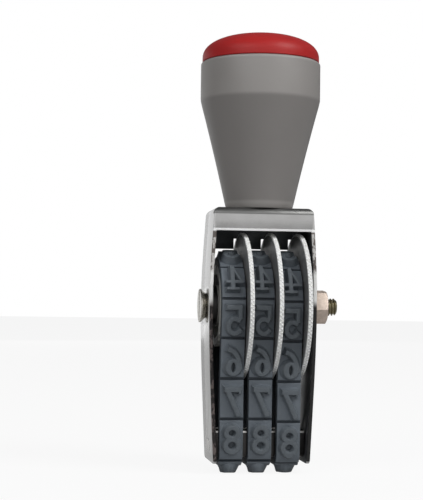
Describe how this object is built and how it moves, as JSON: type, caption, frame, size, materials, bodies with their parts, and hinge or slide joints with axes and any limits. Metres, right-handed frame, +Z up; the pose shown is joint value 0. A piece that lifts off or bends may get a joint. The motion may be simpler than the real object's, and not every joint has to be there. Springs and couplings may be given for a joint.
{
  "type": "rubber band numbering stamp",
  "caption": "Hand numbering stamp: rubber number bands on thumb-wheel drums in a folded metal yoke, with a flared grip and a domed cap.",
  "frame": {"origin": "centre of the print face, in the plane of the printing digits and midway between the yoke's legs", "axes": "+Z up the grip, +X along the axle from the slotted head to the nut, -Y to the front, where the digits 4 to 8 show"},
  "size_m": [0.0314, 0.033, 0.0983],
  "materials": {
    "nickel_sheet": "bright nickel plate on folded steel sheet, cut edges a little rough",
    "plain_sheet": "plain rolled sheet",
    "band_rubber": "moulded dark slate rubber, satin",
    "disc_plastic": "moulded off-white plastic with a serrated rim",
    "drum_plastic": "moulded off-white plastic",
    "screw_nickel": "nickel plated",
    "sleeve_brass": "drawn tube",
    "nut_zinc": "yellow passivated zinc",
    "grip_plastic": "warm grey moulded plastic, satin",
    "cap_plastic": "glossy red moulded plastic"
  },
  "bodies": {
    "body": {"yoke": "nickel_sheet", "platen": "plain_sheet", "band_left": "band_rubber", "band_middle": "band_rubber", "band_right": "band_rubber", "axle_screw": "screw_nickel", "axle_sleeve": "sleeve_brass", "axle_nut": "nut_zinc", "spacer_left": "plain_sheet", "spacer_right": "plain_sheet", "grip": "grip_plastic", "grip_cap": "cap_plastic", "grip_screw": "screw_nickel", "grip_washer": "screw_nickel"},
    "wheel_left": {"thumb_disc_left": "disc_plastic", "band_drum_left": "drum_plastic"},
    "wheel_middle": {"thumb_disc_middle": "disc_plastic", "band_drum_middle": "drum_plastic"},
    "wheel_right": {"thumb_disc_right": "disc_plastic", "band_drum_right": "drum_plastic"}
  },
  "joints": [
    {"name": "wheel_left_turn", "type": "hinge", "parent": "body", "child": "wheel_left", "pos_m": [0, 0, 0.0368], "axis": [1, 0, 0], "continuous": true},
    {"name": "wheel_middle_turn", "type": "hinge", "parent": "body", "child": "wheel_middle", "pos_m": [0, 0, 0.0368], "axis": [1, 0, 0], "continuous": true},
    {"name": "wheel_right_turn", "type": "hinge", "parent": "body", "child": "wheel_right", "pos_m": [0, 0, 0.0368], "axis": [1, 0, 0], "continuous": true}
  ]
}
